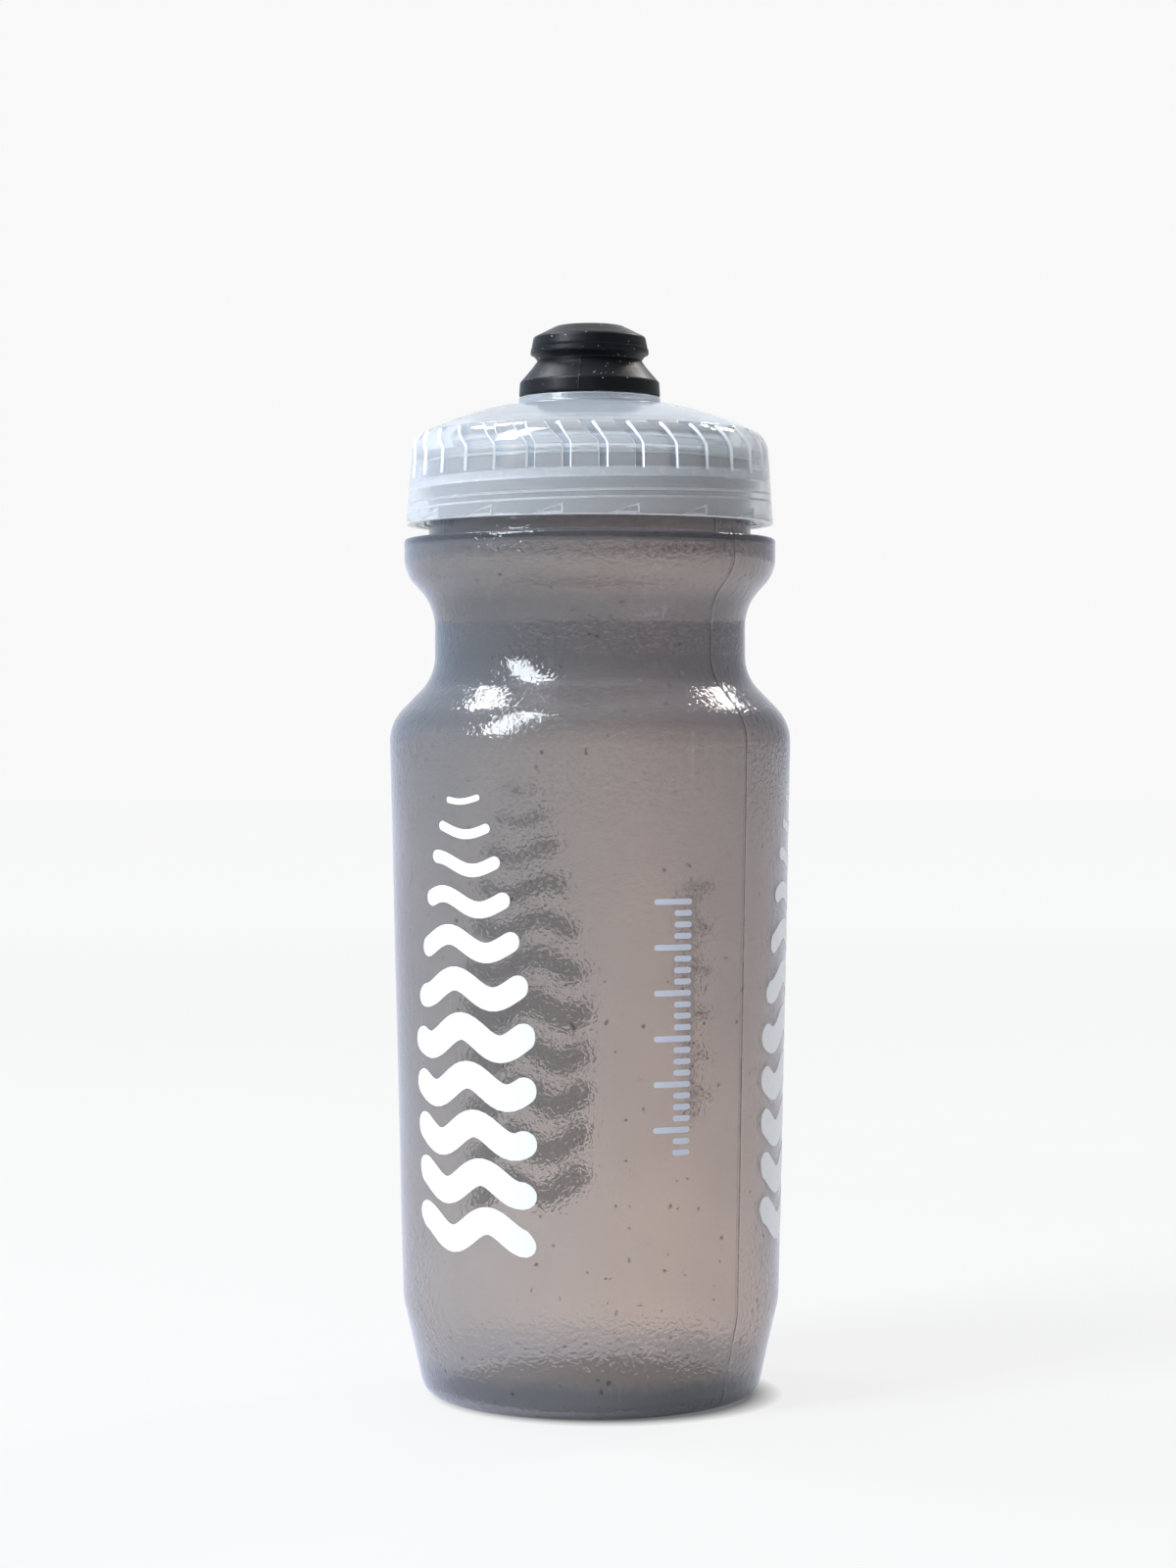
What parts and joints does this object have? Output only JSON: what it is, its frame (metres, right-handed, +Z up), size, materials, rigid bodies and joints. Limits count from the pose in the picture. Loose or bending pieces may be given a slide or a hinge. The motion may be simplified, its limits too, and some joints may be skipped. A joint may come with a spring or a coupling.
{
  "type": "squeeze bottle",
  "caption": "Translucent squeeze bottle for a bicycle cage: tapered body with a gripping waist, ribbed screw cap and soft push-pull drinking nozzle.",
  "frame": {"origin": "centre of the foot ring, on the surface that the bottle stands on", "axes": "+Z up along the bottle's axis, out through the nozzle; -Y is the front, which shows the main printed figure to the left of the middle"},
  "size_m": [0.0744, 0.0744, 0.1977],
  "materials": {
    "bottle_ldpe": "translucent smoke grey polyethylene with a white print",
    "cap_frosted": "frosted clear polypropylene",
    "seal_silicone": "soft white silicone",
    "ring_rubber": "black rubber",
    "core_plastic": "natural polypropylene",
    "valve_silicone": "smooth dark silicone",
    "nozzle_rubber": "soft matt black elastomer with a mould seam"
  },
  "bodies": {
    "bottle": {"bottle_body": "bottle_ldpe"},
    "seal": {"cap_seal": "seal_silicone"},
    "cap": {"cap_shell": "cap_frosted", "spout_o_ring": "ring_rubber"},
    "nozzle": {"nozzle_core": "core_plastic", "slit_valve": "valve_silicone", "valve_retainer": "core_plastic", "nozzle_sleeve": "nozzle_rubber"}
  },
  "joints": [
    {"name": "cap_lift", "type": "slide", "parent": "bottle", "child": "seal", "axis": [0, 0, 1], "range_m": [0, 0.01235]},
    {"name": "cap_turn", "type": "hinge", "parent": "seal", "child": "cap", "pos_m": [0, 0, 0.1608], "axis": [0, 0, 1], "range_deg": [0, 1171]},
    {"name": "nozzle_slide", "type": "slide", "parent": "cap", "child": "nozzle", "axis": [0, 0, 1], "range_m": [0, 0.005]}
  ],
  "couplings": [
    {"joint": "cap_turn", "follows": "cap_lift", "rad_per_m": 1653.5}
  ]
}
